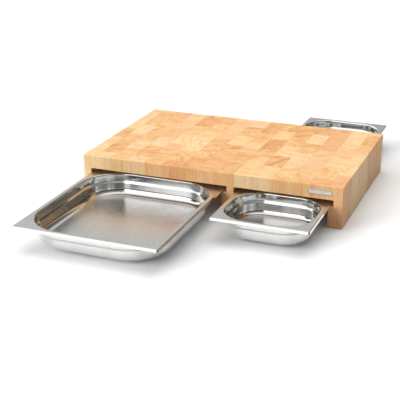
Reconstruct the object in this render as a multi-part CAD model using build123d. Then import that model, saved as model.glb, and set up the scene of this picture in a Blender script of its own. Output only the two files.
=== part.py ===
from build123d import *

import os
from dataclasses import dataclass
from math import atan2, degrees, tan

# An end-grain chopping block that stands on three runners, with three loose steel trays
# that hang by their rims in grooves under the deck.
# X runs along the front, Y to the back, Z up, all in millimetres.
# The origin is the middle of the divider's foot, on the table.

# ---------------------------------------------------------------- trays, catering widths
large_tray_width = 265.0
large_tray_length = 310.0
large_mouth_radius = 71.5
small_tray_width = 176.0
front_tray_length = 155.0
rear_tray_length = 173.0
small_mouth_radius = 51.0
pan_depth = 40.0
sheet = 0.8
rim_width = 10.0
rim_corner_radius = 3.5
lip_height = 5.0
lip_bend = 2.6
mouth_roll = 3.0
collar_height = 14.0
collar_lean = 1.0
shoulder_step = 3.0
shoulder_drop = 4.0
shoulder_radius = 2.5
wall_lean = 1.5
large_floor_radius = 13.0
small_floor_radius = 11.0

# ---------------------------------------------------------------- chopping block
block_depth = 330.0
deck_thickness = 25.0
left_wall = 16.0
right_wall = 17.0
divider_web = 13.0
ledge_width = 9.2
side_play = 8.0
headroom = 7.0
table_gap = 5.0
slide_gap = 0.3
arris_radius = 1.5
foot_chamfer = 1.0
cut_past = 2.0

# ---------------------------------------------------------------- staves of the block
stave_width = 35.0
stave_length = 62.0
shortest_stave = 15.0

# ---------------------------------------------------------------- name plate, left blank
plate_length = 46.0
plate_height = 10.5
plate_thickness = 1.0
plate_seat = 0.5
plate_clearance = 0.15
plate_edge = 0.3
plate_from_right = 42.0
plate_from_top = 13.0

# ---------------------------------------------------------------- how far each tray is pulled out
large_pull = 286.5
front_pull = 134.4
rear_pull = 169.0
# Where a tray stands across its groove: -1 against the left end, +1 against the right end.
large_side_share = -1.0
front_side_share = -0.12
rear_side_share = -0.7

# ---------------------------------------------------------------- heights and places that follow
tray_top = table_gap + pan_depth
ledge_top = tray_top - lip_height - slide_gap
deck_under = tray_top + headroom
block_height = deck_under + deck_thickness
front = -block_depth / 2
back = block_depth / 2
web_left = -divider_web / 2
web_right = divider_web / 2
left_groove_end = web_left - large_tray_width - side_play
right_groove_end = web_right + small_tray_width + side_play
block_left = left_groove_end - left_wall
block_right = right_groove_end + right_wall


@dataclass(frozen=True)
class Tray:
    """One pressed tray: its rim's size, and the radii of its mouth's and floor's corners."""

    width: float
    length: float
    mouth_radius: float
    floor_radius: float


large_tray = Tray(large_tray_width, large_tray_length, large_mouth_radius, large_floor_radius)
front_tray = Tray(small_tray_width, front_tray_length, small_mouth_radius, small_floor_radius)
rear_tray = Tray(small_tray_width, rear_tray_length, small_mouth_radius, small_floor_radius)


def box_between(low, high):
    """A box from its lowest to its highest corner."""
    size = [b - a for a, b in zip(low, high)]
    centre = [(a + b) / 2 for a, b in zip(low, high)]
    return Pos(*centre) * Box(*size)


# ================================================================ pressed trays


def rounded_section(tray, inset, z):
    """The tray's plan outline at height z, inset from the outside of its rim."""
    radius = tray.mouth_radius + rim_width - inset
    return Pos(0, 0, z) * RectangleRounded(tray.width - 2 * inset, tray.length - 2 * inset, radius)


def edges_at(shape, z):
    """The edges of a shape that lie in the level plane at height z."""
    return shape.edges().filter_by(lambda edge: abs(edge.bounding_box().min.Z - z) < 1e-3
                                   and abs(edge.bounding_box().max.Z - z) < 1e-3)


def leaning_slice(tray, low_inset, low, high_inset, high):
    """A slice of the pan whose walls lean outwards from its lower to its upper outline."""
    lean = degrees(atan2(low_inset - high_inset, high - low))
    return extrude(rounded_section(tray, low_inset, low), high - low, taper=-lean)


def pan_hollow(tray, skin):
    """The space inside the pan, grown by skin on its walls and floor but not at its mouth."""
    turn = skin * tan(atan2(shoulder_step, shoulder_drop) / 2)
    shoulder_z = tray_top - collar_height - turn
    wall_z = shoulder_z - shoulder_drop
    floor_z = tray_top - pan_depth + sheet - skin
    mouth = rim_width - skin
    collar = mouth + collar_lean
    wall = collar + shoulder_step
    solid = leaning_slice(tray, wall + wall_lean, floor_z, wall, wall_z)
    solid += leaning_slice(tray, wall, wall_z, collar, shoulder_z)
    solid += leaning_slice(tray, collar, shoulder_z, mouth, tray_top)
    solid = fillet(edges_at(solid, shoulder_z), shoulder_radius + skin)
    solid = fillet(edges_at(solid, wall_z), shoulder_radius + sheet - skin)
    return fillet(edges_at(solid, floor_z), tray.floor_radius + skin)


def rim_block(tray, inset, bottom, top):
    """The rim's block with its upper edge bent over, inset from the outside of the lip."""
    outline = RectangleRounded(
        tray.width - 2 * inset, tray.length - 2 * inset, rim_corner_radius - inset
    )
    block = Pos(0, 0, bottom) * extrude(outline, top - bottom)
    return fillet(edges_at(block, top), lip_bend - inset)


def pressed_tray(tray):
    """One tray about its own centre: a flat rim with a turned-down lip, collar, shoulder, pan."""
    lip_bottom = tray_top - lip_height
    rim_under = tray_top - sheet
    rim = rim_block(tray, 0, lip_bottom, tray_top)
    rim -= rim_block(tray, sheet, lip_bottom - cut_past, rim_under)
    body = rim + pan_hollow(tray, sheet)
    reach = tray.width / 2 - rim_width + 2 * sheet
    under = edges_at(body, rim_under).filter_by(lambda e: e.bounding_box().max.X < reach)
    body = fillet(under, mouth_roll - sheet)
    body -= pan_hollow(tray, 0)
    mouth = edges_at(body, tray_top).filter_by(lambda e: e.bounding_box().max.X < reach)
    return fillet(mouth, mouth_roll)


def tray_place(tray, groove_left, groove_right, side_share, front_edge):
    """The place of a tray in its bay: across by its share of the side play, along by its front edge."""
    free = (groove_right - groove_left - tray.width) / 2 - slide_gap
    return Pos((groove_left + groove_right) / 2 + side_share * free, front_edge + tray.length / 2, 0)


def all_trays():
    """The three trays as they are pulled out, under their names."""
    places = {
        "large_tray": tray_place(
            large_tray, left_groove_end, web_left, large_side_share, front - large_pull
        ),
        "small_tray_front": tray_place(
            front_tray, web_right, right_groove_end, front_side_share, front - front_pull
        ),
        "small_tray_rear": tray_place(
            rear_tray, web_right, right_groove_end, rear_side_share, back + rear_pull - rear_tray.length
        ),
    }
    trays = {
        "large_tray": large_tray,
        "small_tray_front": front_tray,
        "small_tray_rear": rear_tray,
    }
    return {name: places[name] * pressed_tray(trays[name]) for name in trays}


# ================================================================ name plate


def plate_outline(grow):
    """The plate's stadium outline on the block's front face, grown all round."""
    centre = (block_right - plate_from_right, front, block_height - plate_from_top)
    plane = Plane(origin=centre, x_dir=(1, 0, 0), z_dir=(0, -1, 0))
    return plane * SlotOverall(plate_length + 2 * grow, plate_height + 2 * grow)


def name_plate():
    """The blank plate, seated in its pocket and standing a little proud."""
    back_face = Pos(0, plate_seat, 0) * plate_outline(0)
    plate = extrude(back_face, plate_thickness, dir=(0, -1, 0))
    proud = front + plate_seat - plate_thickness
    rim = plate.edges().filter_by(lambda e: e.bounding_box().max.Y < proud + plate_edge)
    return fillet(rim, plate_edge)


def plate_pocket():
    """The shallow pocket in the front face that holds the plate."""
    back_face = Pos(0, plate_seat, 0) * plate_outline(plate_clearance)
    return extrude(back_face, 2 * plate_seat, dir=(0, -1, 0))


# ================================================================ chopping block


def bay(groove_left, groove_right):
    """One bay, open below and at both ends: a wide groove for the rims over a narrower passage."""
    near = front - cut_past
    far = back + cut_past
    groove = box_between((groove_left, near, ledge_top), (groove_right, far, deck_under))
    passage = box_between(
        (groove_left + ledge_width, near, -cut_past),
        (groove_right - ledge_width, far, deck_under),
    )
    return groove + passage


def milled_block():
    """The whole block before it is told apart into staves."""
    block = box_between((block_left, front, 0), (block_right, back, block_height))
    block = fillet(block.edges().filter_by(Axis.Z), arris_radius)
    block = fillet(edges_at(block, block_height), arris_radius)
    block -= bay(left_groove_end, web_left)
    block -= bay(web_right, right_groove_end)
    block = chamfer(edges_at(block, 0), foot_chamfer)
    return block - plate_pocket()


def seams_outward(start, end):
    """The seams between rows from start to end, a stave apart, the last row as wide as is left."""
    span = abs(end - start)
    rows = max(1, round(span / stave_width))
    step = stave_width if end > start else -stave_width
    return [start + step * count for count in range(1, rows)] + [end]


def named_rows():
    """Each row of staves from left to right, as its name and its two sides."""
    left_foot = left_groove_end + ledge_width
    right_foot = right_groove_end - ledge_width
    left_seams = [web_right] + seams_outward(web_right, left_foot)
    right_seams = [web_right] + seams_outward(web_right, right_foot)
    seams = [block_left] + left_seams[::-1] + right_seams[1:] + [block_right]
    divider = len(left_seams) - 1
    last = len(seams) - 2
    names = {0: "left_wall_row", divider: "divider_row", last: "right_wall_row"}
    deck_rows = [index for index in range(last) if index not in names]
    names |= {index: f"deck_row_{count:02d}" for count, index in enumerate(deck_rows, 1)}
    return [(names[index], seams[index], seams[index + 1]) for index in range(last + 1)]


def joints_along(index):
    """The ends of the staves in a row, from front to back: every other row starts half a stave on."""
    first = stave_length / 2 if index % 2 else stave_length
    ends = [front]
    end = front + first
    while end < back - shortest_stave:
        ends.append(end)
        end += stave_length
    return ends + [back]


def row_of_staves(block, index, left, right):
    """The staves of one row, each cut from the block as its own solid."""
    ends = joints_along(index)
    staves = []
    for near, far in zip(ends, ends[1:]):
        staves += (block & box_between((left, near, 0), (right, far, block_height))).solids()
    return Compound(children=staves)


# ================================================================ write every piece


def main():
    """Build every piece and write it to its own file."""
    os.makedirs("parts", exist_ok=True)
    block = milled_block()
    pieces = {
        name: row_of_staves(block, index, left, right)
        for index, (name, left, right) in enumerate(named_rows())
    }
    pieces["name_plate"] = name_plate()
    pieces |= all_trays()
    for name, piece in pieces.items():
        export_step(piece, f"parts/{name}.step")


main()
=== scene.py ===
"""The looks of an end-grain chopping block with three steel trays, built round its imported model."""

import logging
import math
from dataclasses import dataclass, field
from enum import Enum

import bmesh
import bpy
from mathutils import Matrix, Vector


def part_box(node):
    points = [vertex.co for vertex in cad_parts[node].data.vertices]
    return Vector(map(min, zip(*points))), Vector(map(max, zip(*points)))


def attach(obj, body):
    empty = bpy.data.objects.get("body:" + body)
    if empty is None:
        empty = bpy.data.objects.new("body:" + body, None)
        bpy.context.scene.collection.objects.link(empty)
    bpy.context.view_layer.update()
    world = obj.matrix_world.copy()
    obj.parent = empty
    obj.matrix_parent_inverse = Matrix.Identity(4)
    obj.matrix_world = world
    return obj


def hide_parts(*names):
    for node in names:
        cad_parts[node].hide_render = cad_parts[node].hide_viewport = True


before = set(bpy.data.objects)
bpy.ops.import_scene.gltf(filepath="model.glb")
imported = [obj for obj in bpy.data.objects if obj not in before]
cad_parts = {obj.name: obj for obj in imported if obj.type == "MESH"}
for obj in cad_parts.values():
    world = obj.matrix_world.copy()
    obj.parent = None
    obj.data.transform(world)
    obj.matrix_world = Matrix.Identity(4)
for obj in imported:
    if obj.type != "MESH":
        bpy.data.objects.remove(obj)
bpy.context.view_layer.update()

MM = 0.001
WHITE = (1.0, 1.0, 1.0, 1.0)
LEVEL_WITHIN = 1e-6
LOG = logging.getLogger("chopping_block")

Colour = tuple[float, float, float, float]


# ============================================================ colours and small helpers


def linear(value: float) -> float:
    """Undoes a screen's brightness curve, whose numbers the standard gives, for one part of a colour."""
    share = value / 255
    return share / 12.92 if share <= 0.04045 else ((share + 0.055) / 1.055) ** 2.4


def srgb(red: float, green: float, blue: float) -> Colour:
    """Turns a colour as seen on a screen, 0 to 255, into the linear one that a shader takes.

    Args:
        red: The red part.
        green: The green part.
        blue: The blue part.

    Returns:
        The linear colour with full alpha.
    """
    return linear(red), linear(green), linear(blue), 1.0


def deselect_all() -> None:
    """Leaves nothing selected, so that an operator acts only on what is picked next."""
    for thing in bpy.context.selected_objects:
        thing.select_set(False)


def pick_only(thing: bpy.types.Object) -> None:
    """Makes one object the only selected and the active one."""
    deselect_all()
    thing.select_set(True)
    bpy.context.view_layer.objects.active = thing


# ============================================================ node drawing


@dataclass(frozen=True)
class Noise:
    """A noise pattern: how fine, how detailed, and which of its values count as none and as all."""

    scale: float
    detail: float = 2.0
    roughness: float = 0.5
    low: float = 0.3
    high: float = 0.7


class Graph:
    """Adds nodes to one node tree and joins them."""

    def __init__(self, tree: bpy.types.NodeTree) -> None:
        """Keeps the tree that the nodes go into."""
        self.tree = tree

    def node(self, kind: str, **settings: object) -> bpy.types.Node:
        """Adds one node.

        Args:
            kind: The node type's name.
            settings: Properties to set on the node.

        Returns:
            The new node.
        """
        made = self.tree.nodes.new(kind)
        for name, value in settings.items():
            setattr(made, name, value)
        return made

    def feed(self, socket: bpy.types.NodeSocket, value: object) -> None:
        """Gives an input its value, or joins it to an output."""
        if isinstance(value, bpy.types.NodeSocket):
            self.tree.links.new(value, socket)
        else:
            socket.default_value = value

    def math(self, operation: str, *values: object, clamp: bool = False) -> bpy.types.NodeSocket:
        """Adds a Math node and returns its output."""
        made = self.node("ShaderNodeMath", operation=operation, use_clamp=clamp)
        for socket, value in zip(made.inputs, values):
            self.feed(socket, value)
        return made.outputs[0]

    def vector(self, operation: str, *values: object) -> bpy.types.NodeSocket:
        """Adds a Vector Math node and returns its vector, or its value where that is the result."""
        made = self.node("ShaderNodeVectorMath", operation=operation)
        for socket, value in zip(made.inputs, values):
            self.feed(socket, value)
        return made.outputs["Value" if operation == "LENGTH" else "Vector"]

    def combine(self, x: object, y: object, z: object) -> bpy.types.NodeSocket:
        """Makes a vector of three values."""
        made = self.node("ShaderNodeCombineXYZ")
        for socket, value in zip(made.inputs, (x, y, z)):
            self.feed(socket, value)
        return made.outputs[0]

    def split(self, vector: object) -> tuple[bpy.types.NodeSocket, ...]:
        """Takes a vector apart into its three values."""
        made = self.node("ShaderNodeSeparateXYZ")
        self.feed(made.inputs[0], vector)
        return tuple(made.outputs)

    def upward(self) -> bpy.types.NodeSocket:
        """Says how far a face looks up: 1 where it is level, 0 where it stands upright."""
        return self.split(self.node("ShaderNodeTexCoord").outputs["Normal"])[2]

    def noise(self, vector: object, pattern: Noise) -> bpy.types.NodeSocket:
        """Adds a noise and returns its plain value, which lies about 0.5."""
        made = self.node("ShaderNodeTexNoise")
        self.feed(made.inputs["Vector"], vector)
        made.inputs["Scale"].default_value = pattern.scale
        made.inputs["Detail"].default_value = pattern.detail
        made.inputs["Roughness"].default_value = pattern.roughness
        return made.outputs["Fac"]

    def spread(self, vector: object, pattern: Noise) -> bpy.types.NodeSocket:
        """Adds a noise and spreads its low and high values to 0 and 1."""
        return self.remap(self.noise(vector, pattern), pattern.low, pattern.high)

    def remap(self, value: object, low: float, high: float, to_low: float = 0.0,
              to_high: float = 1.0) -> bpy.types.NodeSocket:
        """Maps low..high smoothly onto to_low..to_high, and holds the ends."""
        made = self.node("ShaderNodeMapRange", interpolation_type="SMOOTHSTEP")
        self.feed(made.inputs["Value"], value)
        made.inputs["From Min"].default_value = low
        made.inputs["From Max"].default_value = high
        made.inputs["To Min"].default_value = to_low
        made.inputs["To Max"].default_value = to_high
        return made.outputs["Result"]

    def mix(self, share: object, first: object, second: object) -> bpy.types.NodeSocket:
        """Mixes two colours by a share."""
        made = self.node("ShaderNodeMix", data_type="RGBA")
        self.feed(made.inputs["Factor"], share)
        self.feed(made.inputs[6], first)
        self.feed(made.inputs[7], second)
        return made.outputs[2]

    def ramp(self, value: object, stops: tuple[tuple[float, Colour], ...]) -> bpy.types.NodeSocket:
        """Adds a Color Ramp with the given stops and returns its colour."""
        made = self.node("ShaderNodeValToRGB")
        self.feed(made.inputs[0], value)
        elements = made.color_ramp.elements
        while len(elements) < len(stops):
            elements.new(0.5)
        for element, (place, colour) in zip(elements, stops):
            element.position = place
            element.color = colour
        return made.outputs["Color"]

    def bump(self, height: object, distance: float, strength: float = 1.0) -> bpy.types.NodeSocket:
        """Turns a height into a normal; the distance is in metres."""
        made = self.node("ShaderNodeBump")
        made.inputs["Strength"].default_value = strength
        made.inputs["Distance"].default_value = distance
        self.feed(made.inputs["Height"], height)
        return made.outputs["Normal"]


class EffectGroup:
    """A shader node group with named inputs and outputs, built once and placed in many materials."""

    name = ""
    inputs: tuple[tuple[str, str, float], ...] = ()
    outputs: tuple[tuple[str, str], ...] = ()

    def draw(self, graph: Graph, given: bpy.types.NodeOutputs) -> dict[str, bpy.types.NodeSocket]:
        """Draws the group's nodes and returns what goes to each output."""
        raise NotImplementedError

    def tree(self) -> bpy.types.NodeTree:
        """Returns the group's tree, and builds it the first time."""
        made = bpy.data.node_groups.get(self.name)
        if made:
            return made
        made = bpy.data.node_groups.new(self.name, "ShaderNodeTree")
        for name, kind, value in self.inputs:
            socket = made.interface.new_socket(name, in_out="INPUT", socket_type=kind)
            if kind == "NodeSocketFloat":
                socket.default_value = value
        for name, kind in self.outputs:
            made.interface.new_socket(name, in_out="OUTPUT", socket_type=kind)
        graph = Graph(made)
        entry = graph.node("NodeGroupInput")
        leave = graph.node("NodeGroupOutput")
        for name, socket in self.draw(graph, entry.outputs).items():
            graph.feed(leave.inputs[name], socket)
        return made

    def place(self, graph: Graph, **values: object) -> bpy.types.NodeOutputs:
        """Places the group in a tree.

        Args:
            graph: The tree to place it in.
            values: What each input gets, with _ for a space in its name.

        Returns:
            The placed group's outputs.
        """
        made = graph.node("ShaderNodeGroup", node_tree=self.tree())
        for name, value in values.items():
            graph.feed(made.inputs[name.replace("_", " ")], value)
        return made.outputs


class StaveLayout(EffectGroup):
    """Tells the staves of a row apart: where each one's heart lies, how dark it is, and its joints."""

    name = "stave_layout"
    inputs = (
        ("Place", "NodeSocketVector", 0.0),
        ("Row Middle", "NodeSocketFloat", 0.0),
        ("Row Number", "NodeSocketFloat", 0.0),
        ("Left Seam", "NodeSocketFloat", 0.0),
        ("Right Seam", "NodeSocketFloat", 35.0),
        ("Seams Above", "NodeSocketFloat", 0.0),
        ("Front", "NodeSocketFloat", 0.0),
        ("Back", "NodeSocketFloat", 330.0),
        ("First Joint", "NodeSocketFloat", 62.0),
        ("Stave Length", "NodeSocketFloat", 62.0),
        ("Glue Width", "NodeSocketFloat", 0.3),
    )
    outputs = (
        ("From Heart", "NodeSocketVector"),
        ("Tone", "NodeSocketFloat"),
        ("Tint", "NodeSocketFloat"),
        ("Seed", "NodeSocketFloat"),
        ("Joint", "NodeSocketFloat"),
    )
    heart_near = 6.0
    heart_far = 62.0
    face_margin = 1.0
    shortest_stave = 10.0
    never = 1000.0
    deal = 9.5

    def draw(self, graph: Graph, given: bpy.types.NodeOutputs) -> dict[str, bpy.types.NodeSocket]:
        """Draws the group; all its lengths are in millimetres."""
        x, y, z = graph.split(given["Place"])
        first, length = given["First Joint"], given["Stave Length"]
        inner_front = graph.math("ADD", given["Front"], self.face_margin)
        inner_back = graph.math("SUBTRACT", given["Back"], self.face_margin)
        held = graph.math("MINIMUM", graph.math("MAXIMUM", y, inner_front), inner_back)
        count = graph.math("FLOOR", graph.math("DIVIDE", graph.math("SUBTRACT", held, first), length))
        cell = graph.combine(
            graph.math("ADD", given["Row Number"], 0.5), graph.math("ADD", count, 0.5), self.deal
        )
        chance = graph.node("ShaderNodeTexWhiteNoise", noise_dimensions="3D")
        graph.feed(chance.inputs["Vector"], cell)
        turn, reach, tint = graph.split(chance.outputs["Color"])
        angle = graph.math("MULTIPLY", turn, 2 * math.pi)
        distance = graph.math("MULTIPLY_ADD", reach, self.heart_far - self.heart_near, self.heart_near)
        middle_y = graph.math("MULTIPLY_ADD", graph.math("ADD", count, 0.5), length, first)
        heart_x = graph.math("MULTIPLY_ADD", graph.math("COSINE", angle), distance, given["Row Middle"])
        heart_y = graph.math("MULTIPLY_ADD", graph.math("SINE", angle), distance, middle_y)
        from_heart = graph.combine(graph.math("SUBTRACT", x, heart_x), graph.math("SUBTRACT", y, heart_y), z)
        return {
            "From Heart": from_heart,
            "Tone": chance.outputs["Value"],
            "Tint": tint,
            "Seed": reach,
            "Joint": self.joint(graph, given, x, y, z),
        }

    def joint(self, graph: Graph, given: bpy.types.NodeOutputs, x: object, y: object,
              z: object) -> bpy.types.NodeSocket:
        """Draws the glue lines: 1 on a joint between two staves, 0 away from it.

        Args:
            graph: The group's graph.
            given: The group's inputs.
            x: The place across the rows.
            y: The place along the row.
            z: The height.

        Returns:
            The share of glue.
        """
        first, length = given["First Joint"], given["Stave Length"]
        nearest = graph.math("ROUND", graph.math("DIVIDE", graph.math("SUBTRACT", y, first), length))
        end = graph.math("MULTIPLY_ADD", nearest, length, first)
        behind_front = graph.math(
            "GREATER_THAN", end, graph.math("ADD", given["Front"], self.shortest_stave)
        )
        before_back = graph.math(
            "LESS_THAN", end, graph.math("SUBTRACT", given["Back"], self.shortest_stave)
        )
        real = graph.math("MULTIPLY", behind_front, before_back)
        end_gap = graph.math("ABSOLUTE", graph.math("SUBTRACT", y, end))
        end_gap = graph.math("MULTIPLY_ADD", graph.math("SUBTRACT", 1.0, real), self.never, end_gap)
        left_gap = graph.math("ABSOLUTE", graph.math("SUBTRACT", x, given["Left Seam"]))
        right_gap = graph.math("ABSOLUTE", graph.math("SUBTRACT", given["Right Seam"], x))
        side_gap = graph.math("MINIMUM", left_gap, right_gap)
        below = graph.math("LESS_THAN", z, given["Seams Above"])
        side_gap = graph.math("MULTIPLY_ADD", below, self.never, side_gap)
        gap = graph.math("MINIMUM", end_gap, side_gap)
        return graph.math("SUBTRACT", 1.0, graph.math("DIVIDE", gap, given["Glue Width"], clamp=True))


class HardwoodGrain(EffectGroup):
    """Growth rings about a heart, pores that run up the stave, and slow changes of shade."""

    name = "hardwood_grain"
    inputs = (
        ("From Heart", "NodeSocketVector", 0.0),
        ("Seed", "NodeSocketFloat", 0.0),
    )
    outputs = (
        ("Bands", "NodeSocketFloat"),
        ("Rings", "NodeSocketFloat"),
        ("Pores", "NodeSocketFloat"),
        ("Streaks", "NodeSocketFloat"),
        ("Shade", "NodeSocketFloat"),
    )
    seed_spread = 900.0
    sway_reach = 14.0
    ring_width = 4.2
    ring_shift = 2.2
    shift_width = 9.0
    shift_layer = 7.0
    late_wood = (0.25, 0.88)
    year_end = (0.9, 1.0)
    band_width = 11.0
    sway_stretch = 0.12
    pore_stretch = 0.04
    streak_stretch = 0.015
    shade_stretch = 0.3
    sway = Noise(scale=0.05, detail=1.0)
    shift = Noise(scale=1.0, detail=0.0)
    bands = Noise(scale=1.0, detail=1.0)
    pores = Noise(scale=1.1, detail=1.5, roughness=0.6, low=0.56, high=0.72)
    streaks = Noise(scale=0.42, roughness=0.65, low=0.35, high=0.68)
    shade = Noise(scale=0.05)

    def draw(self, graph: Graph, given: bpy.types.NodeOutputs) -> dict[str, bpy.types.NodeSocket]:
        """Draws the group; lengths are in millimetres."""
        x, y, z = graph.split(given["From Heart"])
        far = graph.math("MULTIPLY", given["Seed"], self.seed_spread)

        def up_the_stave(stretch: float) -> bpy.types.NodeSocket:
            """Gives a place that changes little with the height, so that a pattern runs up the stave."""
            return graph.combine(x, y, graph.math("MULTIPLY_ADD", z, stretch, far))

        def outwards(width: float, layer: float) -> bpy.types.NodeSocket:
            """Gives a place that changes only from the heart outwards, by one in each width."""
            return graph.combine(graph.math("DIVIDE", radius, width), far, layer)

        sway = graph.math("SUBTRACT", graph.noise(up_the_stave(self.sway_stretch), self.sway), 0.5)
        from_heart = graph.vector("LENGTH", graph.combine(x, y, 0.0))
        radius = graph.math("MULTIPLY_ADD", sway, self.sway_reach, from_heart)
        shift = graph.noise(outwards(self.shift_width, self.shift_layer), self.shift)
        even_turns = graph.math("DIVIDE", radius, self.ring_width)
        year = graph.math("FRACT", graph.math("MULTIPLY_ADD", shift, self.ring_shift, even_turns))
        late = graph.remap(year, *self.late_wood)
        fall = graph.remap(year, *self.year_end, 1.0, 0.0)
        return {
            "Bands": graph.spread(outwards(self.band_width, 0.0), self.bands),
            "Rings": graph.math("MULTIPLY", late, fall),
            "Pores": graph.spread(up_the_stave(self.pore_stretch), self.pores),
            "Streaks": graph.spread(up_the_stave(self.streak_stretch), self.streaks),
            "Shade": graph.spread(up_the_stave(self.shade_stretch), self.shade),
        }


class HandlingMarks(EffectGroup):
    """What use leaves on metal: smears that dull the polish, hair scratches and a slow unevenness."""

    name = "handling_marks"
    inputs = (
        ("Place", "NodeSocketVector", 0.0),
        ("Across", "NodeSocketFloat", 1.0),
        ("Along", "NodeSocketFloat", 1.0),
    )
    outputs = (
        ("Smear", "NodeSocketFloat"),
        ("Hairlines", "NodeSocketFloat"),
        ("Wave", "NodeSocketFloat"),
    )
    smear = Noise(scale=0.03, detail=3.0, roughness=0.6, low=0.35, high=0.7)
    hairlines = Noise(scale=1.0, detail=3.0, roughness=0.7)
    wave = Noise(scale=0.018, detail=1.0)

    def draw(self, graph: Graph, given: bpy.types.NodeOutputs) -> dict[str, bpy.types.NodeSocket]:
        """Draws the group; lengths are in millimetres."""
        x, y, z = graph.split(given["Place"])
        brushed = graph.combine(
            graph.math("MULTIPLY", x, given["Across"]), graph.math("MULTIPLY", y, given["Along"]), z
        )
        return {
            "Smear": graph.spread(given["Place"], self.smear),
            "Hairlines": graph.noise(brushed, self.hairlines),
            "Wave": graph.noise(given["Place"], self.wave),
        }


# ============================================================ finishes


@dataclass(frozen=True)
class Finish:
    """A finish that makes one material.

    No finish has the name of a slot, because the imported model's own plain materials have those names.
    """

    name: str

    def dress(self, graph: Graph, shader: bpy.types.Node, place: bpy.types.NodeSocket) -> None:
        """Draws the finish into a material's graph.

        Args:
            graph: The material's graph.
            shader: Its Principled shader.
            place: The place on the object in millimetres.
        """
        raise NotImplementedError

    def material(self) -> bpy.types.Material:
        """Returns the finish's material, and makes it the first time."""
        made = bpy.data.materials.get(self.name)
        if made:
            return made
        made = bpy.data.materials.new(self.name)
        made.use_nodes = True
        graph = Graph(made.node_tree)
        made.node_tree.nodes.clear()
        shader = graph.node("ShaderNodeBsdfPrincipled")
        out = graph.node("ShaderNodeOutputMaterial")
        graph.feed(out.inputs["Surface"], shader.outputs[0])
        place = graph.node("ShaderNodeTexCoord").outputs["Object"]
        self.dress(graph, shader, graph.vector("MULTIPLY", place, (1 / MM, 1 / MM, 1 / MM)))
        return made


@dataclass(frozen=True)
class StaveFinish(Finish):
    """Oiled hardwood staves of one row, with the end grain upwards. Lengths are in millimetres."""

    row_middle: float
    row_number: int
    left_seam: float
    right_seam: float
    seams_above: float
    front: float
    back: float
    first_joint: float
    stave_length: float
    pale: Colour = srgb(249, 220, 174)
    honey: Colour = srgb(242, 199, 143)
    orange: Colour = srgb(230, 170, 112)
    brown: Colour = srgb(196, 126, 76)
    glue: Colour = srgb(196, 146, 98)
    rose: Colour = srgb(236, 172, 130)
    pore: Colour = srgb(168, 112, 66)
    pale_place: float = 0.14
    honey_place: float = 0.48
    orange_place: float = 0.8
    stave_contrast: float = 0.46
    shade_contrast: float = 0.16
    band_contrast: float = 0.22
    streak_contrast: float = 0.1
    side_facing: float = 0.3
    top_facing: float = 0.8
    side_rings: float = 0.09
    top_rings: float = 0.24
    rosy_from: float = 0.6
    rosy_share: float = 0.4
    pore_share: float = 0.3
    glue_share: float = 0.6
    roughness: float = 0.5
    pore_roughness: float = 0.14
    shade_roughness: float = 0.06
    relief: float = 0.1
    relief_strength: float = 0.6
    pore_depth: float = 0.7
    ring_height: float = 0.2
    glue_depth: float = 0.5
    gloss: float = 0.35

    def dress(self, graph: Graph, shader: bpy.types.Node, place: bpy.types.NodeSocket) -> None:
        """Draws the staves: each has its own heart, tone and tint, and the grain runs up it."""
        stave = StaveLayout().place(
            graph, Place=place, Row_Middle=self.row_middle, Row_Number=float(self.row_number),
            Left_Seam=self.left_seam, Right_Seam=self.right_seam, Seams_Above=self.seams_above,
            Front=self.front, Back=self.back, First_Joint=self.first_joint, Stave_Length=self.stave_length,
        )
        grain = HardwoodGrain().place(graph, From_Heart=stave["From Heart"], Seed=stave["Seed"])
        graph.feed(shader.inputs["Base Color"], self.colour(graph, stave, grain))
        rough = graph.math("MULTIPLY_ADD", grain["Pores"], self.pore_roughness, self.roughness)
        rough = graph.math("MULTIPLY_ADD", grain["Shade"], self.shade_roughness, rough)
        graph.feed(shader.inputs["Roughness"], rough)
        height = graph.math("MULTIPLY", grain["Rings"], self.ring_height)
        height = graph.math("MULTIPLY_ADD", grain["Pores"], -self.pore_depth, height)
        height = graph.math("MULTIPLY_ADD", stave["Joint"], -self.glue_depth, height)
        graph.feed(shader.inputs["Normal"], graph.bump(height, self.relief * MM, self.relief_strength))
        shader.inputs["Specular IOR Level"].default_value = self.gloss

    def colour(self, graph: Graph, stave: bpy.types.NodeOutputs,
               grain: bpy.types.NodeOutputs) -> bpy.types.NodeSocket:
        """Draws the wood's colour.

        Args:
            graph: The material's graph.
            stave: What tells the staves apart.
            grain: The grain of each stave.

        Returns:
            The colour, with the pores and the glue lines in it.
        """
        rings = graph.remap(
            graph.upward(), self.side_facing, self.top_facing, self.side_rings, self.top_rings
        )
        tone = graph.math("MULTIPLY", stave["Tone"], self.stave_contrast)
        tone = graph.math("MULTIPLY_ADD", grain["Shade"], self.shade_contrast, tone)
        tone = graph.math("MULTIPLY_ADD", grain["Bands"], self.band_contrast, tone)
        tone = graph.math("MULTIPLY_ADD", grain["Rings"], rings, tone)
        tone = graph.math("MULTIPLY_ADD", grain["Streaks"], self.streak_contrast, tone)
        colour = graph.ramp(tone, (
            (self.pale_place, self.pale),
            (self.honey_place, self.honey),
            (self.orange_place, self.orange),
            (1.0, self.brown),
        ))
        rosy = graph.remap(stave["Tint"], self.rosy_from, 1.0, 0.0, self.rosy_share)
        colour = graph.mix(rosy, colour, self.rose)
        colour = graph.mix(graph.math("MULTIPLY", grain["Pores"], self.pore_share), colour, self.pore)
        return graph.mix(graph.math("MULTIPLY", stave["Joint"], self.glue_share), colour, self.glue)


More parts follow.
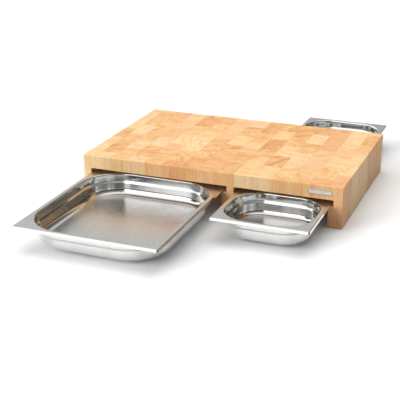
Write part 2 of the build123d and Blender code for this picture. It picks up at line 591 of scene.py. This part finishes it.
@dataclass(frozen=True)
class SteelFinish(Finish):
    """Stainless sheet: polished walls, satin where it lies flat, with hairlines and light smears."""

    polished: float = 0.06
    satin: float = 0.25
    sloping: float = 0.8
    level: float = 0.98
    smear_roughness: float = 0.05
    hair_roughness: float = 0.04
    hair_across: float = 1.4
    hair_along: float = 0.06
    hair_depth: float = 0.0006
    wave_depth: float = 0.05
    steel: Colour = srgb(222, 222, 221)
    dull: Colour = srgb(215, 215, 213)

    def dress(self, graph: Graph, shader: bpy.types.Node, place: bpy.types.NodeSocket) -> None:
        """Draws the sheet: the flats are satin, smears dull it, and a slow wave bends what it mirrors."""
        marks = HandlingMarks().place(graph, Place=place, Across=self.hair_across, Along=self.hair_along)
        graph.feed(shader.inputs["Base Color"], graph.mix(marks["Smear"], self.steel, self.dull))
        level = graph.remap(graph.upward(), self.sloping, self.level)
        rough = graph.math("MULTIPLY_ADD", level, self.satin - self.polished, self.polished)
        rough = graph.math("MULTIPLY_ADD", marks["Smear"], self.smear_roughness, rough)
        rough = graph.math("MULTIPLY_ADD", marks["Hairlines"], self.hair_roughness, rough)
        graph.feed(shader.inputs["Roughness"], rough)
        height = graph.math("MULTIPLY", marks["Wave"], self.wave_depth)
        height = graph.math("MULTIPLY_ADD", marks["Hairlines"], self.hair_depth, height)
        graph.feed(shader.inputs["Normal"], graph.bump(height, MM))
        shader.inputs["Metallic"].default_value = 1.0


@dataclass(frozen=True)
class PlateFinish(Finish):
    """Satin aluminium of the blank name plate."""

    face: Colour = srgb(234, 228, 216)
    shadow: Colour = srgb(218, 211, 198)
    metal: float = 0.35
    roughness: float = 0.3
    hair_roughness: float = 0.2
    hair_across: float = 0.15
    hair_along: float = 3.0
    hair_depth: float = 0.02
    hair_strength: float = 0.5

    def dress(self, graph: Graph, shader: bpy.types.Node, place: bpy.types.NodeSocket) -> None:
        """Draws fine sideways brushing with a few smears."""
        marks = HandlingMarks().place(graph, Place=place, Across=self.hair_across, Along=self.hair_along)
        graph.feed(shader.inputs["Base Color"], graph.mix(marks["Smear"], self.face, self.shadow))
        rough = graph.math("MULTIPLY_ADD", marks["Hairlines"], self.hair_roughness, self.roughness)
        graph.feed(shader.inputs["Roughness"], rough)
        brushing = graph.bump(marks["Hairlines"], self.hair_depth * MM, self.hair_strength)
        graph.feed(shader.inputs["Normal"], brushing)
        shader.inputs["Metallic"].default_value = self.metal


@dataclass(frozen=True)
class DarkLineFinish(Finish):
    """Plain dark colour of the line sunk into the rim of the name plate."""

    line: Colour = srgb(58, 48, 38)
    worn: Colour = srgb(84, 72, 58)
    roughness: float = 0.35
    hair_roughness: float = 0.2

    def dress(self, graph: Graph, shader: bpy.types.Node, place: bpy.types.NodeSocket) -> None:
        """Draws the line, a little worn in places."""
        marks = HandlingMarks().place(graph, Place=place)
        graph.feed(shader.inputs["Base Color"], graph.mix(marks["Smear"], self.line, self.worn))
        rough = graph.math("MULTIPLY_ADD", marks["Hairlines"], self.hair_roughness, self.roughness)
        graph.feed(shader.inputs["Roughness"], rough)


@dataclass(frozen=True)
class FloorFinish(Finish):
    """White studio floor that keeps the shadow, shows white where fully lit and throws little light back."""

    white: Colour = srgb(254, 254, 254)
    mottled: Colour = srgb(244, 244, 244)
    bounce: Colour = srgb(215, 215, 215)
    mottle: Noise = Noise(scale=0.004, low=0.2, high=0.8)
    mottle_share: float = 0.02
    roughness: float = 0.9
    lift: float = 0.01
    mirrored_lift: float = 0.08

    def dress(self, graph: Graph, shader: bpy.types.Node, place: bpy.types.NodeSocket) -> None:
        """Draws the floor with a very faint mottle."""
        mottle = graph.noise(place, self.mottle)
        shade = graph.remap(mottle, self.mottle.low, self.mottle.high, 0.0, self.mottle_share)
        shader.inputs["Roughness"].default_value = self.roughness
        shader.inputs["Specular IOR Level"].default_value = 0.0
        rays = graph.node("ShaderNodeLightPath")
        seen = graph.math("MAXIMUM", rays.outputs["Is Camera Ray"], rays.outputs["Is Glossy Ray"])
        seen = graph.math("MAXIMUM", seen, rays.outputs["Is Transmission Ray"])
        plain = graph.mix(shade, self.white, self.mottled)
        graph.feed(shader.inputs["Base Color"], graph.mix(seen, self.bounce, plain))
        shader.inputs["Emission Color"].default_value = WHITE
        lift = graph.math("MULTIPLY", seen, self.lift)
        lift = graph.math("MULTIPLY_ADD", rays.outputs["Is Glossy Ray"], self.mirrored_lift, lift)
        graph.feed(shader.inputs["Emission Strength"], lift)


# ============================================================ sheet-metal modelling


@dataclass(frozen=True)
class Bend:
    """One corner of a section: how far in from the rim, how high, and how round. Metres."""

    inset: float
    height: float
    radius: float = 0.0


def section_points(bends: tuple[Bend, ...], steps: int) -> list[tuple[float, float]]:
    """Rounds the corners of a section.

    Args:
        bends: The section's corners from its first end to its last; the ends have no radius.
        steps: How many straight steps each rounding gets.

    Returns:
        The points of the rounded section, each as inset and height.
    """
    points = [(bends[0].inset, bends[0].height)]
    for before, corner, after in zip(bends, bends[1:], bends[2:]):
        here = Vector((corner.inset, corner.height))
        back = (Vector((before.inset, before.height)) - here).normalized()
        onward = (Vector((after.inset, after.height)) - here).normalized()
        opening = back.angle(onward)
        reach = corner.radius / math.tan(opening / 2)
        start = here + back * reach
        middle = (back + onward).normalized()
        centre = here + middle * (corner.radius / math.sin(opening / 2))
        sweep = math.pi - opening
        turn = 1.0 if back.x * onward.y - back.y * onward.x < 0 else -1.0
        arm = start - centre
        for step in range(steps + 1):
            angle = turn * sweep * step / steps
            cosine, sine = math.cos(angle), math.sin(angle)
            points.append((
                centre.x + arm.x * cosine - arm.y * sine,
                centre.y + arm.x * sine + arm.y * cosine,
            ))
    points.append((bends[-1].inset, bends[-1].height))
    return points


class Workbench:
    """Edit-mode work on one object, done with operators."""

    def __init__(self, name: str) -> None:
        """Starts an empty object and enters edit mode on it."""
        deselect_all()
        bpy.ops.object.add(type="MESH", location=(0.0, 0.0, 0.0))
        self.object = bpy.context.object
        self.object.name = name
        self.object.data.name = name
        bpy.ops.object.mode_set(mode="EDIT")
        bpy.ops.mesh.select_mode(type="FACE")

    def rounded_plate(self, centre: Vector, size: Vector, radius: float, steps: int,
                      turn: tuple[float, float, float] = (0.0, 0.0, 0.0)) -> None:
        """Adds a flat face with round corners, and leaves it selected.

        Args:
            centre: The face's centre.
            size: Its size along X, Y and Z, with 1 across the face.
            radius: The corners' radius.
            steps: How many straight steps each corner gets.
            turn: How the face is turned from lying flat.
        """
        bpy.ops.mesh.select_all(action="DESELECT")
        bpy.ops.mesh.primitive_plane_add(size=1.0, location=centre, rotation=turn)
        bpy.ops.transform.resize(value=size, center_override=centre)
        bpy.ops.mesh.bevel(
            offset=radius, offset_type="OFFSET", segments=steps, affect="VERTICES", profile=0.5
        )

    def step_in(self, points: list[tuple[float, float]]) -> None:
        """Takes the selected face along a section, an inset and a depth at a time.

        Args:
            points: The section's points, from where the face now lies.
        """
        for (inset, height), (next_inset, next_height) in zip(points, points[1:]):
            bpy.ops.mesh.inset(thickness=max(next_inset - inset, 0.0), depth=next_height - height)

    def raise_wider(self, centre: Vector, size: Vector, rise: float, growth: float) -> None:
        """Draws the selected level face up and lets it grow outwards on the way.

        Args:
            centre: The face's centre.
            size: The face's size along X and Y.
            rise: How far it goes up.
            growth: How far each side goes out.
        """
        bpy.ops.mesh.extrude_region_move(TRANSFORM_OT_translate={"value": (0.0, 0.0, rise)})
        wider = Vector((1 + 2 * growth / size.x, 1 + 2 * growth / size.y, 1.0))
        bpy.ops.transform.resize(value=wider, center_override=centre)

    def open_bottom(self, height: float) -> None:
        """Deletes the face that lies level at a height and keeps its edges."""
        bpy.ops.mesh.select_all(action="DESELECT")
        mesh = bmesh.from_edit_mesh(self.object.data)
        for face in mesh.faces:
            face.select_set(all(abs(vert.co.z - height) < LEVEL_WITHIN for vert in face.verts))
        bmesh.update_edit_mesh(self.object.data)
        self.drop_face()

    def drop_face(self) -> None:
        """Deletes the selected face and keeps its edges."""
        bpy.ops.mesh.delete(type="ONLY_FACE")

    def bridge_open_loops(self, height: float) -> None:
        """Joins the open loops at one height with a band of faces."""
        bpy.ops.mesh.select_mode(type="EDGE")
        bpy.ops.mesh.select_all(action="DESELECT")
        mesh = bmesh.from_edit_mesh(self.object.data)
        for edge in mesh.edges:
            level = all(abs(vert.co.z - height) < LEVEL_WITHIN for vert in edge.verts)
            edge.select_set(level and len(edge.link_faces) < 2)
        bmesh.update_edit_mesh(self.object.data)
        bpy.ops.mesh.bridge_edge_loops()
        bpy.ops.mesh.select_mode(type="FACE")

    def done(self) -> bpy.types.Object:
        """Leaves edit mode and returns the object."""
        bpy.ops.object.mode_set(mode="OBJECT")
        return self.object

    def apply(self, kind: str, **settings: object) -> None:
        """Adds a modifier to the finished mesh and applies it."""
        pick_only(self.object)
        modifier = self.object.modifiers.new(kind.lower(), kind)
        for name, value in settings.items():
            setattr(modifier, name, value)
        bpy.ops.object.modifier_apply(modifier=modifier.name)

    def smooth(self, degrees: float) -> None:
        """Shades the mesh smooth across every edge flatter than an angle."""
        pick_only(self.object)
        bpy.ops.object.shade_smooth_by_angle(angle=math.radians(degrees))


class TrayKind(Enum):
    """The two sizes of pressing tool; each gives the mouth's and the floor's corner radius in metres."""

    LARGE = (71.5 * MM, 13.0 * MM)
    SMALL = (51.0 * MM, 11.0 * MM)

    @property
    def mouth_radius(self) -> float:
        """The radius of the mouth's corners in plan."""
        return self.value[0]

    @property
    def floor_radius(self) -> float:
        """The radius between the walls and the floor."""
        return self.value[1]


@dataclass
class PressedTray:
    """One steel tray, pressed from a single sheet. Lengths are in metres."""

    node: str
    kind: TrayKind
    finish: Finish
    sheet: float = 0.8 * MM
    rim_width: float = 10.0 * MM
    rim_corner: float = 4.4 * MM
    lip_height: float = 5.0 * MM
    lip_bend: float = 1.6 * MM
    lip_slant: float = 1.8 * MM
    hem_rise: float = 1.0 * MM
    hem_tuck: float = 0.7 * MM
    mouth_roll: float = 3.0 * MM
    collar_height: float = 14.0 * MM
    collar_lean: float = 1.0 * MM
    shoulder_step: float = 3.0 * MM
    shoulder_drop: float = 4.0 * MM
    shoulder_radius: float = 2.6 * MM
    wall_lean: float = 1.5 * MM
    rim_flat: float = 0.5 * MM
    floor_flat: float = 6.0 * MM
    edge_round: float = 0.15 * MM
    edge_steps: int = 2
    edge_angle: float = 60.0
    smooth_angle: float = 40.0
    corner_steps: int = 28
    bend_steps: int = 8
    low: Vector = field(init=False)
    high: Vector = field(init=False)

    def __post_init__(self) -> None:
        """Reads the tray's place from the frame."""
        self.low, self.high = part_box(self.node)

    def rim_section(self) -> tuple[Bend, ...]:
        """The lip and its bend, from the top of the lip's hem to the flat of the rim."""
        top = self.high.z
        return (
            Bend(0.0, top - self.lip_height + self.hem_rise),
            Bend(self.lip_slant, top, self.lip_bend),
            Bend(self.lip_slant + self.lip_bend, top),
        )

    def pan_section(self) -> tuple[Bend, ...]:
        """The pan's inner face, from the flat of the rim to the flat of the floor."""
        top = self.high.z
        floor = self.low.z + self.sheet
        collar = self.rim_width + self.collar_lean
        wall = collar + self.shoulder_step
        foot = wall + self.wall_lean
        shoulder = top - self.collar_height
        return (
            Bend(self.rim_width - self.mouth_roll - self.rim_flat, top),
            Bend(self.rim_width, top, self.mouth_roll),
            Bend(collar, shoulder, self.shoulder_radius),
            Bend(wall, shoulder - self.shoulder_drop, self.shoulder_radius),
            Bend(foot, floor, self.kind.floor_radius),
            Bend(foot + self.kind.floor_radius + self.floor_flat, floor),
        )

    def build(self) -> bpy.types.Object:
        """Models the tray.

        Returns:
            The tray's object, at the origin with its place in its mesh.
        """
        centre = (self.low + self.high) / 2
        width = self.high.x - self.low.x
        length = self.high.y - self.low.y
        bench = Workbench(self.node + "_sheet")
        rim = section_points(self.rim_section(), self.bend_steps)
        foot = Vector((centre.x, centre.y, rim[0][1] - self.hem_rise))
        foot_size = Vector((width - 2 * self.hem_tuck, length - 2 * self.hem_tuck, 1.0))
        bench.rounded_plate(foot, foot_size, self.rim_corner - self.hem_tuck, self.corner_steps)
        bench.raise_wider(foot, foot_size, self.hem_rise, self.hem_tuck)
        bench.step_in(rim)
        bench.drop_face()
        pan = section_points(self.pan_section(), self.bend_steps)
        start = pan[0][0]
        bench.rounded_plate(
            Vector((centre.x, centre.y, pan[0][1])), Vector((width - 2 * start, length - 2 * start, 1.0)),
            self.kind.mouth_radius + self.rim_width - start, self.corner_steps,
        )
        bench.step_in(pan)
        bench.bridge_open_loops(self.high.z)
        bench.open_bottom(foot.z)
        tray = bench.done()
        bench.apply("SOLIDIFY", thickness=self.sheet, offset=-1.0, use_even_offset=True)
        bench.apply(
            "BEVEL", width=self.edge_round, segments=self.edge_steps, limit_method="ANGLE",
            angle_limit=math.radians(self.edge_angle),
        )
        bench.smooth(self.smooth_angle)
        tray.data.materials.append(self.finish.material())
        return tray

    def fit(self) -> bpy.types.Object:
        """Builds the tray and lets it stand for its node."""
        tray = self.build()
        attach(tray, self.node)
        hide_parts(self.node)
        LOG.info("%s: %d faces", tray.name, len(tray.data.polygons))
        return tray


@dataclass
class NamePlate:
    """The blank oval plate on the front: a raised rim, a dark line and a plain field. Metres."""

    node: str = "name_plate"
    chamfer: float = 0.25 * MM
    border: float = 0.35 * MM
    line: float = 0.7 * MM
    sink: float = 0.15 * MM
    end_steps: int = 20
    end_share: float = 0.96
    facing_front: float = 0.9
    line_within: float = 0.2
    smooth_angle: float = 35.0

    def build(self) -> bpy.types.Object:
        """Models the plate in its pocket and returns its object."""
        low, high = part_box(self.node)
        centre = (low + high) / 2
        width, height = high.x - low.x, high.z - low.z
        thickness = high.y - low.y
        bench = Workbench("blank_plate")
        bench.rounded_plate(
            Vector((centre.x, high.y, centre.z)), Vector((width, 1.0, height)),
            height / 2 * self.end_share, self.end_steps, turn=(math.pi / 2, 0.0, 0.0),
        )
        bpy.ops.mesh.extrude_region_move(
            TRANSFORM_OT_translate={"value": (0.0, -(thickness - self.chamfer), 0.0)}
        )
        bpy.ops.mesh.inset(thickness=self.chamfer, depth=self.chamfer)
        bpy.ops.mesh.inset(thickness=self.border, depth=0.0)
        bpy.ops.mesh.inset(thickness=self.sink / 2, depth=-self.sink)
        bpy.ops.mesh.inset(thickness=self.line, depth=0.0)
        bench.object.data.materials.append(PlateFinish("satin_plate").material())
        # The band sunk round the rim is coloured dark, so the plate shows a dark outline.
        bench.object.data.materials.append(DarkLineFinish("dark_line").material())
        bpy.ops.mesh.inset(thickness=self.sink / 2, depth=self.sink / 2)
        plate = bench.done()
        self.paint_line(plate, low.y)
        bench.smooth(self.smooth_angle)
        return plate

    def paint_line(self, plate: bpy.types.Object, front: float) -> None:
        """Gives the sunk band of the plate the dark line's colour."""
        for face in plate.data.polygons:
            depth = face.center.y - front
            facing = face.normal.y < -self.facing_front
            if facing and abs(depth - self.sink) < self.line_within * self.sink:
                face.material_index = 1

    def fit(self) -> bpy.types.Object:
        """Builds the plate and lets it stand for its node."""
        plate = self.build()
        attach(plate, "block")
        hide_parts(self.node)
        LOG.info("%s: %d faces", plate.name, len(plate.data.polygons))
        return plate


@dataclass
class ChoppingBlock:
    """The block's rows of staves, dressed in wood. Lengths are in metres."""

    stave_length: float = 62.0 * MM
    deck_under: float = 52.0 * MM
    no_seam: float = 10.0

    def rows(self) -> list[str]:
        """The names of the rows' nodes, from left to right."""
        names = [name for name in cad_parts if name.endswith("_row") or name.startswith("deck_row")]
        return sorted(names, key=lambda name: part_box(name)[0].x)

    def finish_of(self, number: int, rows: list[str]) -> StaveFinish:
        """Works out the finish of one row.

        Args:
            number: The row's place, counted from the left.
            rows: The names of all rows.

        Returns:
            The row's finish.
        """
        low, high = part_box(rows[number])
        first = self.stave_length / 2 if number % 2 else self.stave_length
        return StaveFinish(
            name="oiled_" + rows[number],
            row_middle=(low.x + high.x) / 2 / MM,
            row_number=number,
            left_seam=(low.x if number else -self.no_seam) / MM,
            right_seam=(high.x if number < len(rows) - 1 else self.no_seam) / MM,
            seams_above=self.deck_under / MM,
            front=low.y / MM,
            back=high.y / MM,
            first_joint=(low.y + first) / MM,
            stave_length=self.stave_length / MM,
        )

    def dress(self) -> None:
        """Gives every row its own wood."""
        rows = self.rows()
        for number, name in enumerate(rows):
            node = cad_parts[name]
            node.data.materials.clear()
            node.data.materials.append(self.finish_of(number, rows).material())
            LOG.info("%s dressed", name)


# ============================================================ studio


@dataclass
class SoftLamp:
    """A large soft light from far away, so that it falls evenly on the whole floor."""

    name: str
    source: Vector
    strength: float
    spread: float

    def hang(self) -> bpy.types.Object:
        """Adds the lamp; the metal mirrors the surround instead of it."""
        data = bpy.data.lights.new(self.name, "SUN")
        data.energy = self.strength * math.pi
        data.angle = math.radians(self.spread)
        lamp = bpy.data.objects.new(self.name, data)
        bpy.context.scene.collection.objects.link(lamp)
        lamp.rotation_euler = self.source.to_track_quat("Z", "Y").to_euler()
        lamp.visible_glossy = False
        return lamp


@dataclass
class PhotoCamera:
    """The camera at the photograph's viewing angle."""

    place: Vector = field(default_factory=lambda: Vector((0.55057, -1.69089, 0.66208)))
    heading: float = -0.375
    tilt: float = -0.374
    roll: float = -0.002
    focal_pixels: float = 965.535
    centre_u: float = 204.0
    centre_v: float = 200.3
    frame_pixels: float = 400.0
    sensor: float = 36.0
    nearest: float = 0.05
    farthest: float = 60.0

    def set_up(self) -> bpy.types.Object:
        """Adds the camera and makes it the scene's."""
        data = bpy.data.cameras.new("photo_camera")
        data.sensor_width = self.sensor
        data.lens = self.focal_pixels / self.frame_pixels * self.sensor
        half = self.frame_pixels / 2
        data.shift_x = (half - self.centre_u) / self.frame_pixels
        data.shift_y = (self.centre_v - half) / self.frame_pixels
        data.clip_start = self.nearest
        data.clip_end = self.farthest
        camera = bpy.data.objects.new("photo_camera", data)
        bpy.context.scene.collection.objects.link(camera)
        turn = Matrix.Rotation(-self.heading, 4, "Z") @ Matrix.Rotation(math.pi / 2 + self.tilt, 4, "X")
        turn = turn @ Matrix.Rotation(self.roll, 4, "Z")
        camera.matrix_world = Matrix.Translation(self.place) @ turn
        bpy.context.scene.camera = camera
        return camera


@dataclass
class Studio:
    """White floor, soft lamps and a pale surround with a few darker parts for the metal to mirror."""

    floor_size: float = 14.0
    floor_drop: float = 0.2 * MM
    ambient: float = 0.11
    ceiling: Colour = (1.1, 1.1, 1.1, 1.0)
    sides_to: float = 0.36
    upper_from: float = 0.6
    upper_to: float = 0.7
    ceiling_from: float = 0.95
    round_about: tuple[tuple[float, float], ...] = (
        (0.0, 0.3), (0.03, 0.08), (0.2, 0.08), (0.49, 0.06), (0.5, 2.0), (0.64, 2.0), (0.655, 0.06),
        (0.705, 0.06), (0.72, 1.6), (0.84, 1.4), (0.9, 0.48), (1.0, 0.42),
    )
    higher_up: tuple[tuple[float, float], ...] = (
        (0.0, 0.6), (0.04, 0.25), (0.25, 0.3), (0.485, 0.25), (0.52, 1.6), (0.86, 1.4), (0.93, 1.0),
        (1.0, 0.9),
    )

    def lay_floor(self) -> None:
        """Adds the floor, a little under the block's feet."""
        deselect_all()
        bpy.ops.mesh.primitive_plane_add(size=self.floor_size, location=(0.0, 0.0, -self.floor_drop))
        floor = bpy.context.object
        floor.name = "studio_floor"
        floor.data.materials.append(FloorFinish("studio_white").material())

    def mirrored(self, graph: Graph) -> bpy.types.NodeSocket:
        """Draws what the metal mirrors: a white ceiling over a room of light and dark sides."""
        x, y, z = graph.split(graph.node("ShaderNodeTexCoord").outputs["Generated"])
        heading = graph.math("ARCTAN2", graph.math("MULTIPLY", x, -1.0), graph.math("MULTIPLY", y, -1.0))
        share = graph.math("MULTIPLY_ADD", heading, 1 / (2 * math.pi), 0.5)
        sides, upper = (
            graph.ramp(share, tuple((place, (tone, tone, tone, 1.0)) for place, tone in stops))
            for stops in (self.round_about, self.higher_up)
        )
        room = graph.mix(graph.remap(z, self.sides_to, self.upper_from), sides, upper)
        return graph.mix(graph.remap(z, self.upper_to, self.ceiling_from), room, self.ceiling)

    def light_world(self) -> None:
        """Lights the surround: white to the camera, the room to the metal, and dim to what it lights."""
        world = bpy.data.worlds.new("studio_surround")
        world.use_nodes = True
        bpy.context.scene.world = world
        graph = Graph(world.node_tree)
        world.node_tree.nodes.clear()
        background = graph.node("ShaderNodeBackground")
        out = graph.node("ShaderNodeOutputWorld")
        graph.feed(out.inputs["Surface"], background.outputs[0])
        rays = graph.node("ShaderNodeLightPath")
        dim = (self.ambient, self.ambient, self.ambient, 1.0)
        lit = graph.mix(rays.outputs["Is Glossy Ray"], dim, self.mirrored(graph))
        graph.feed(background.inputs["Color"], graph.mix(rays.outputs["Is Camera Ray"], lit, WHITE))

    def hang_lamps(self) -> None:
        """Adds a wide light overhead and a lower one from the front left."""
        SoftLamp("overhead_light", source=Vector((-0.12, 0.15, 1.0)), strength=0.72, spread=70.0).hang()
        SoftLamp("side_light", source=Vector((-1.0, -0.85, 0.55)), strength=0.85, spread=45.0).hang()

    def set_up(self) -> None:
        """Builds the studio."""
        self.lay_floor()
        self.light_world()
        self.hang_lamps()
        bpy.context.scene.view_settings.view_transform = "Standard"


# ============================================================ putting it together


def main() -> None:
    """Builds the camera, the studio and every piece, in order."""
    logging.basicConfig(level=logging.INFO, format="%(name)s %(message)s")
    PhotoCamera().set_up()
    Studio().set_up()
    ChoppingBlock().dress()
    NamePlate().fit()
    steel = SteelFinish("pressed_steel")
    PressedTray("large_tray", TrayKind.LARGE, steel).fit()
    PressedTray("small_tray_front", TrayKind.SMALL, steel).fit()
    PressedTray("small_tray_rear", TrayKind.SMALL, steel).fit()


if __name__ == "__main__":
    main()
